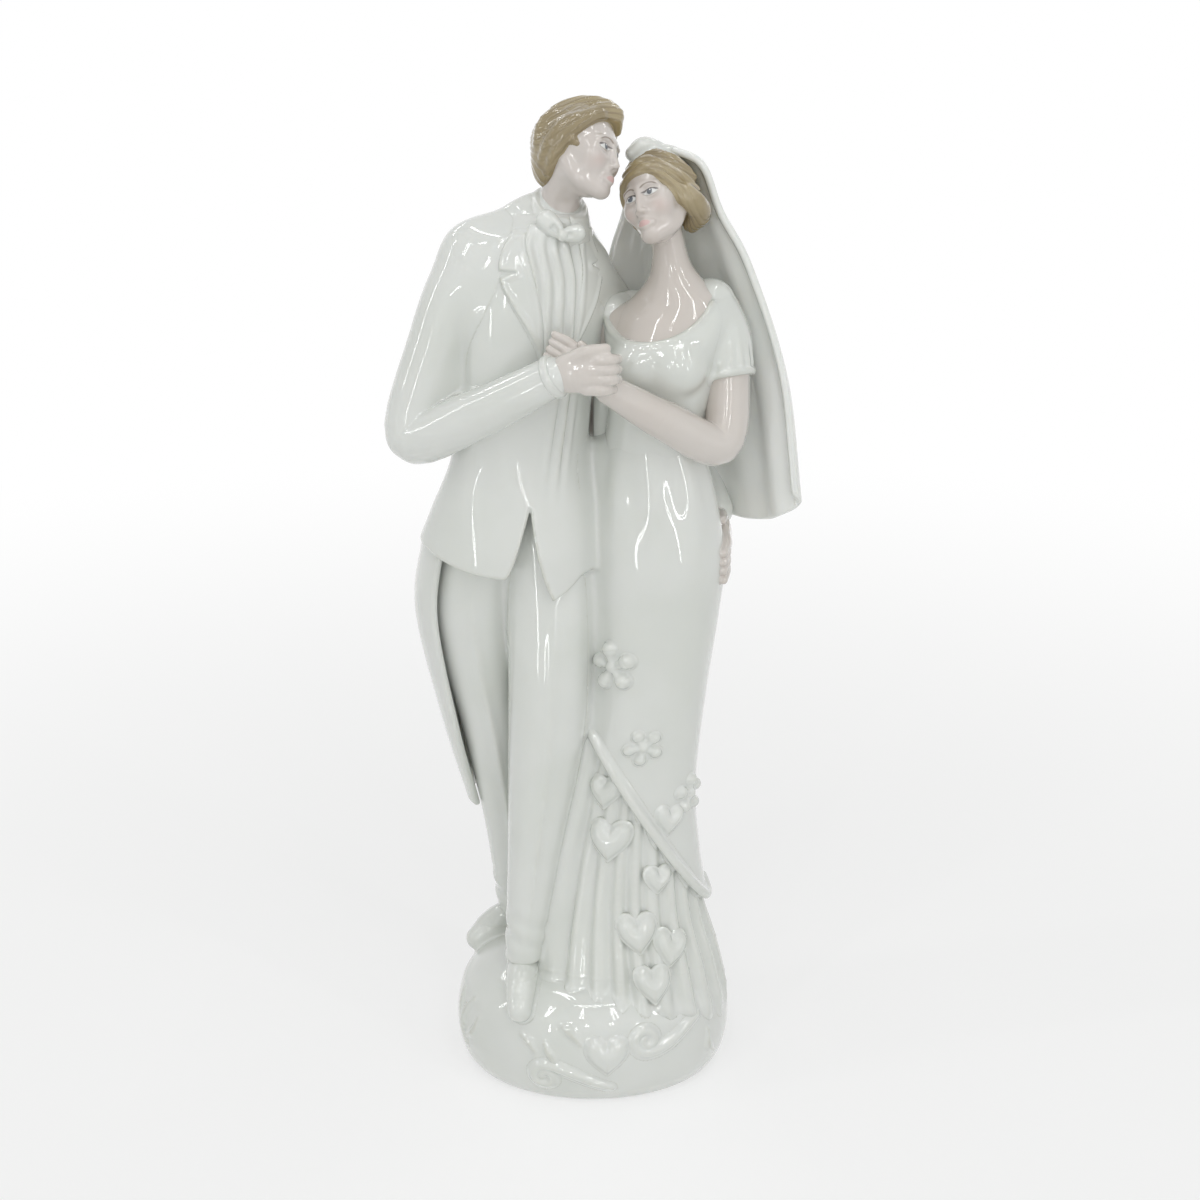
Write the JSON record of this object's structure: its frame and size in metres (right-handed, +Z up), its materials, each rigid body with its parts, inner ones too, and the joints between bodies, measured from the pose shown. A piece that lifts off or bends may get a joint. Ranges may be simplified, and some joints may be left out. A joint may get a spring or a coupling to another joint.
{
  "type": "wedding cake topper",
  "caption": "Glazed porcelain figurine of a bride and groom holding hands on a domed oval base, set on top of a wedding cake.",
  "frame": {"origin": "centre of the base's flat underside", "axes": "+X towards the bride's side, which is the viewer's right; -Y towards the viewer; +Z up"},
  "size_m": [0.0929, 0.0564, 0.2302],
  "materials": {
    "glaze_white": "glossy clear glaze over white porcelain",
    "skin_enamel": "glossy glaze with a faint pink enamel tint",
    "hair_enamel": "glossy tan enamel with darker brush strokes"
  },
  "bodies": {
    "root": {"base": "glaze_white", "base_heart": "glaze_white", "base_scroll_left": "glaze_white", "base_scroll_right": "glaze_white", "groom_left_shoe": "glaze_white", "groom_right_shoe": "glaze_white", "groom_left_trouser_leg": "glaze_white", "groom_right_trouser_leg": "glaze_white", "groom_coat": "glaze_white", "groom_coat_right_tail": "glaze_white", "groom_coat_left_tail": "glaze_white", "groom_head": "skin_enamel", "groom_hair": "hair_enamel", "groom_collar": "glaze_white", "groom_shirt_front": "glaze_white", "groom_right_lapel": "glaze_white", "groom_left_lapel": "glaze_white", "groom_bow_tie": "glaze_white", "groom_right_sleeve": "glaze_white", "groom_right_cuff": "glaze_white", "groom_right_hand": "skin_enamel", "groom_left_sleeve": "glaze_white", "groom_left_hand": "skin_enamel", "bride_underskirt": "glaze_white", "bride_overskirt": "glaze_white", "bride_skirt_ribbon": "glaze_white", "skirt_heart_1": "glaze_white", "skirt_heart_2": "glaze_white", "skirt_heart_3": "glaze_white", "skirt_heart_4": "glaze_white", "skirt_heart_5": "glaze_white", "skirt_heart_6": "glaze_white", "skirt_heart_7": "glaze_white", "skirt_flower_1": "glaze_white", "skirt_flower_2": "glaze_white", "skirt_flower_3": "glaze_white", "bride_shoulders": "skin_enamel", "bride_bodice": "glaze_white", "bride_left_arm": "skin_enamel", "bride_right_arm": "skin_enamel", "bride_left_sleeve": "glaze_white", "bride_right_sleeve": "glaze_white", "bride_head": "skin_enamel", "bride_hair": "hair_enamel", "bride_veil_gather": "glaze_white", "bride_left_hand": "skin_enamel", "bride_right_hand": "skin_enamel", "bride_veil": "glaze_white"}
  },
  "joints": []
}
